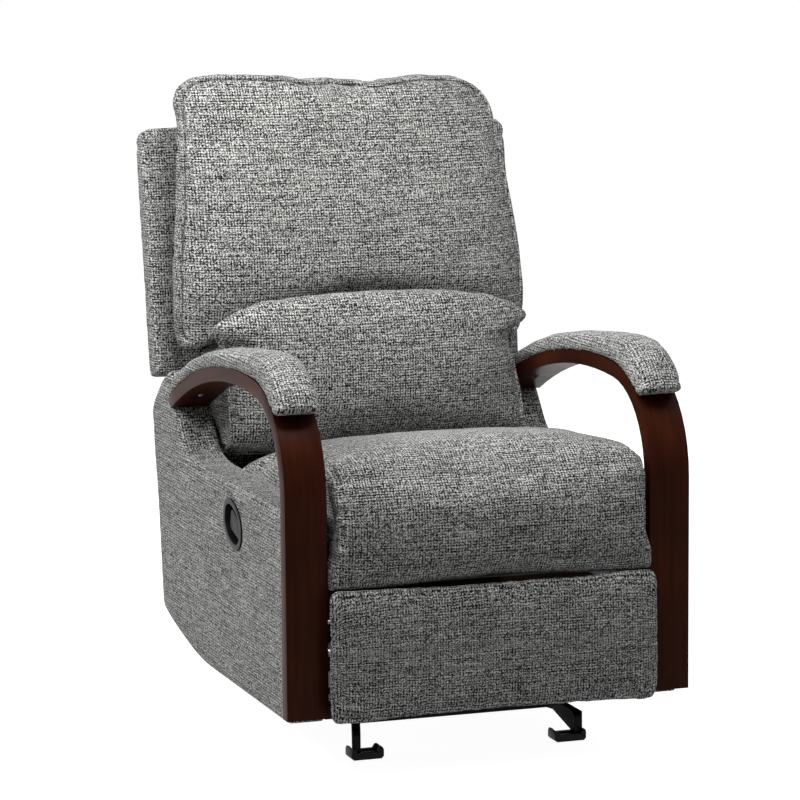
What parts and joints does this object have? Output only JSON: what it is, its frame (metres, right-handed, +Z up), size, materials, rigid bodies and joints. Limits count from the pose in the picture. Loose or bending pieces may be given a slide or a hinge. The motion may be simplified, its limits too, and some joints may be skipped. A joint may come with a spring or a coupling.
{
  "type": "rocker recliner",
  "caption": "Rocker recliner with bentwood arms, padded tops, tweed upholstery, pull latch and scissor footrest.",
  "frame": {"origin": "centre of the bounding box, on the floor", "axes": "+Z up, the chair faces -Y, X across it"},
  "size_m": [0.708, 0.9448, 1.0924],
  "materials": {
    "wood_red": "gloss",
    "tweed": "matte",
    "black_steel": "satin",
    "black_plastic": "satin",
    "zinc": "satin",
    "plywood": "matte"
  },
  "bodies": {
    "base": {"base_rails": "black_steel", "base_crossbars": "black_steel", "foot_caps": "black_plastic", "spring_seats": "black_steel", "base_bolts": "zinc", "rocker_springs": "zinc"},
    "chassis": {"side_panel_left": "tweed", "side_panel_right": "tweed", "side_boards": "plywood", "arm_left": "wood_red", "arm_right": "wood_red", "arm_pad_left": "tweed", "arm_pad_right": "tweed", "arm_screws": "zinc", "arm_bolts": "zinc", "front_rail": "plywood", "rear_rail": "plywood", "cross_rails": "black_steel", "spring_plates": "black_steel", "rocker_cams": "black_plastic", "cam_bolts": "zinc", "mount_rails": "zinc", "rail_bolts": "zinc", "latch_cup": "black_plastic", "latch_pin": "zinc", "release_cable": "black_plastic", "cable_clips": "zinc"},
    "lever": {"latch_lever": "black_plastic"},
    "hook": {"release_hook": "zinc"},
    "seat": {"seat_plates": "zinc", "seat_studs": "zinc", "seat_frame": "plywood", "frame_bolts": "zinc", "seat_springs": "black_steel", "spring_clips": "zinc", "seat_cushion": "tweed"},
    "back": {"back_brackets": "zinc", "back_bolts": "zinc", "back_pivots": "zinc", "back_frame": "plywood", "back_springs": "black_steel", "outer_back": "tweed", "head_pillow": "tweed", "lumbar_cushion": "tweed"},
    "drive": {"torque_tube": "black_steel", "drive_links": "zinc", "drive_rivets": "zinc"},
    "cross": {"cross_links": "zinc", "cross_rivets": "zinc"},
    "lift": {"lift_links": "zinc", "lift_rivets": "zinc"},
    "stay": {"stay_links": "zinc"},
    "ottoman": {"foot_brackets": "zinc", "foot_board": "plywood", "foot_pad": "tweed", "foot_bolts": "zinc"}
  },
  "joints": [
    {"name": "rock", "type": "hinge", "parent": "base", "child": "chassis", "pos_m": [0, -0.035, 0.4253], "axis": [1, 0, 0], "range_deg": [-8, 8], "stiffness_Nm_per_rad": 1500, "deforming": ["rocker_springs"]},
    {"name": "pull_latch", "type": "hinge", "parent": "chassis", "child": "lever", "pos_m": [-0.336, -0.15313, 0.3604], "axis": [0, -0.342, 0.9397], "range_deg": [0, 25], "stiffness_Nm_per_rad": 0.5},
    {"name": "release", "type": "hinge", "parent": "chassis", "child": "hook", "pos_m": [-0.248, -0.23, 0.246], "axis": [-1, 0, 0], "range_deg": [0, 10], "stiffness_Nm_per_rad": 0.5},
    {"name": "recline", "type": "hinge", "parent": "seat", "child": "back", "pos_m": [0, 0.205, 0.3], "axis": [-1, 0, 0], "range_deg": [0, 35]},
    {"name": "seat_slide", "type": "slide", "parent": "chassis", "child": "seat", "axis": [0, -0.9976, 0.0698], "range_m": [0, 0.04]},
    {"name": "footrest", "type": "hinge", "parent": "seat", "child": "drive", "pos_m": [0, -0.285, 0.292], "axis": [-1, 0, 0], "range_deg": [0, 66]},
    {"name": "scissor_cross", "type": "hinge", "parent": "drive", "child": "cross", "pos_m": [0, -0.30063, 0.20337], "axis": [-1, 0, 0], "range_deg": [-132, 0]},
    {"name": "scissor_lift", "type": "hinge", "parent": "drive", "child": "lift", "pos_m": [0, -0.31626, 0.11473], "axis": [-1, 0, 0], "range_deg": [-132, 0]},
    {"name": "scissor_stay", "type": "hinge", "parent": "cross", "child": "stay", "pos_m": [0, -0.31626, 0.292], "axis": [-1, 0, 0], "range_deg": [0, 132]},
    {"name": "footrest_turn", "type": "hinge", "parent": "lift", "child": "ottoman", "pos_m": [0, -0.34752, 0.292], "axis": [-1, 0, 0], "range_deg": [0, 160]}
  ],
  "couplings": [
    {"joint": "release", "follows": "pull_latch", "ratio": 0.4},
    {"joint": "seat_slide", "follows": "recline", "m_per_rad": 0.06548},
    {"joint": "scissor_cross", "follows": "footrest", "ratio": -2},
    {"joint": "scissor_lift", "follows": "footrest", "ratio": -2},
    {"joint": "scissor_stay", "follows": "footrest", "ratio": 2},
    {"joint": "footrest_turn", "follows": "footrest", "ratio": 2.4242}
  ]
}
